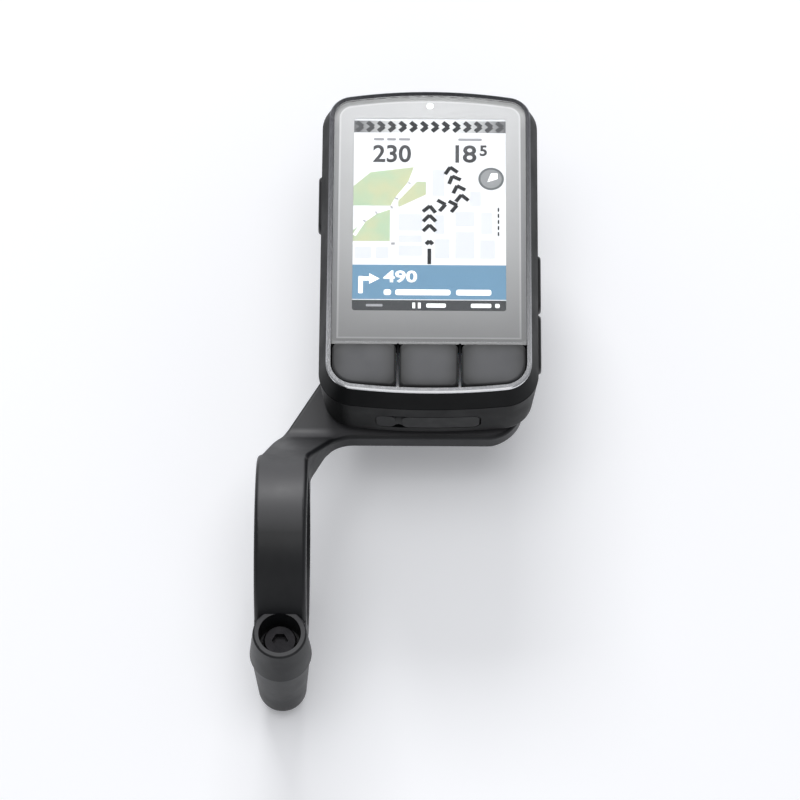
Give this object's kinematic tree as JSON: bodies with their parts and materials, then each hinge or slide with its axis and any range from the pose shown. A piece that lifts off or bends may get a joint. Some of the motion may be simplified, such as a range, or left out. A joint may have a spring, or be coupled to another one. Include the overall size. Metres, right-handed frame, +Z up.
{
  "type": "cycling computer",
  "caption": "Handlebar cycling computer with a lit map screen, front and side keys, held by a quarter-turn foot on an out-front clamp arm.",
  "frame": {"origin": "centre of the handlebar clamp's bore", "axes": "+X along the bar to the rider's right, +Y forward, +Z up with the head unit level"},
  "size_m": [0.0619, 0.1342, 0.0457],
  "materials": {
    "case_black": "fine moulded texture",
    "mount_black": "glass-filled nylon, satin",
    "bright_trim": "polished bevel",
    "screen_glass": "polished",
    "screen": "lit display",
    "key_grey": "matte",
    "side_key_black": "satin",
    "seal_rubber": "moulded silicone",
    "membrane_rubber": "moulded silicone",
    "circuit_board": "solder mask",
    "chip_black": "moulded package",
    "tin_plate": "tinned",
    "ceramic_white": "glazed",
    "cell_foil": "laminated foil",
    "foam_grey": "adhesive foam",
    "wire_red": "insulated wire",
    "flex_amber": "polyimide film",
    "clear_plastic": "polished",
    "black_steel": "black oxide",
    "steel": "machined",
    "brass_insert": "machined",
    "mesh_white": "porous membrane"
  },
  "bodies": {
    "mount": {"mount_arm": "mount_black", "twist_socket": "mount_black", "socket_screws": "steel", "hinge_pin": "steel", "clamp_washer": "black_steel"},
    "head_unit": {"rear_case": "case_black", "case_gasket": "seal_rubber", "front_frame": "case_black", "bezel_trim": "bright_trim", "cover_glass": "screen_glass", "lcd_panel": "screen", "backlight": "clear_plastic", "display_flex": "flex_amber", "light_pipe": "clear_plastic", "key_membrane": "membrane_rubber", "key_board": "circuit_board", "key_domes": "steel", "port_cover_anchor": "seal_rubber", "main_board": "circuit_board", "shield_can": "tin_plate", "gps_antenna": "ceramic_white", "buzzer": "chip_black", "status_led": "ceramic_white", "side_switches": "chip_black", "usb_socket": "tin_plate", "vent_membrane": "mesh_white", "battery_pad": "foam_grey", "battery": "cell_foil", "battery_lead": "wire_red", "case_screws": "steel", "lock_foot": "case_black", "foot_screws": "steel"},
    "left_key": {"left_key": "key_grey"},
    "centre_key": {"centre_key": "key_grey"},
    "right_key": {"right_key": "key_grey"},
    "power_button": {"power_button": "side_key_black"},
    "up_button": {"up_button": "side_key_black"},
    "down_button": {"down_button": "side_key_black"},
    "port_cover": {"port_cover": "seal_rubber"},
    "lower_jaw": {"lower_jaw": "mount_black", "clamp_insert": "brass_insert"},
    "clamp_bolt": {"clamp_bolt": "black_steel"}
  },
  "joints": [
    {"name": "head_twist", "type": "hinge", "parent": "mount", "child": "head_unit", "pos_m": [0.031, 0.066, 0.0019], "axis": [0, 0, 1], "range_deg": [0, 90]},
    {"name": "bolt_draw", "type": "slide", "parent": "mount", "child": "clamp_bolt", "axis": [0, 0, 1], "range_m": [0, 0.018]},
    {"name": "jaw_swing", "type": "hinge", "parent": "mount", "child": "lower_jaw", "pos_m": [0, 0.019, -0.006], "axis": [1, 0, 0], "range_deg": [0, 72]},
    {"name": "port_cover_swing", "type": "hinge", "parent": "head_unit", "child": "port_cover", "pos_m": [0.02485, 0.0287, 0.005], "axis": [0, 0, -1], "range_deg": [0, 90], "stiffness_Nm_per_rad": 0.002},
    {"name": "left_key_press", "type": "slide", "parent": "head_unit", "child": "left_key", "axis": [0, 0, -1], "range_m": [0, 0.0004], "stiffness_N_per_m": 5000},
    {"name": "centre_key_press", "type": "slide", "parent": "head_unit", "child": "centre_key", "axis": [0, 0, -1], "range_m": [0, 0.0004], "stiffness_N_per_m": 5000},
    {"name": "right_key_press", "type": "slide", "parent": "head_unit", "child": "right_key", "axis": [0, 0, -1], "range_m": [0, 0.0004], "stiffness_N_per_m": 5000},
    {"name": "power_button_press", "type": "slide", "parent": "head_unit", "child": "power_button", "axis": [1, 0, 0], "range_m": [0, 0.0005], "stiffness_N_per_m": 5000},
    {"name": "up_button_press", "type": "slide", "parent": "head_unit", "child": "up_button", "axis": [-1, 0, 0], "range_m": [0, 0.0005], "stiffness_N_per_m": 5000},
    {"name": "down_button_press", "type": "slide", "parent": "head_unit", "child": "down_button", "axis": [-1, 0, 0], "range_m": [0, 0.0005], "stiffness_N_per_m": 5000}
  ],
  "couplings": [
    {"joint": "jaw_swing", "follows": "bolt_draw", "rad_per_m": 69.813}
  ]
}
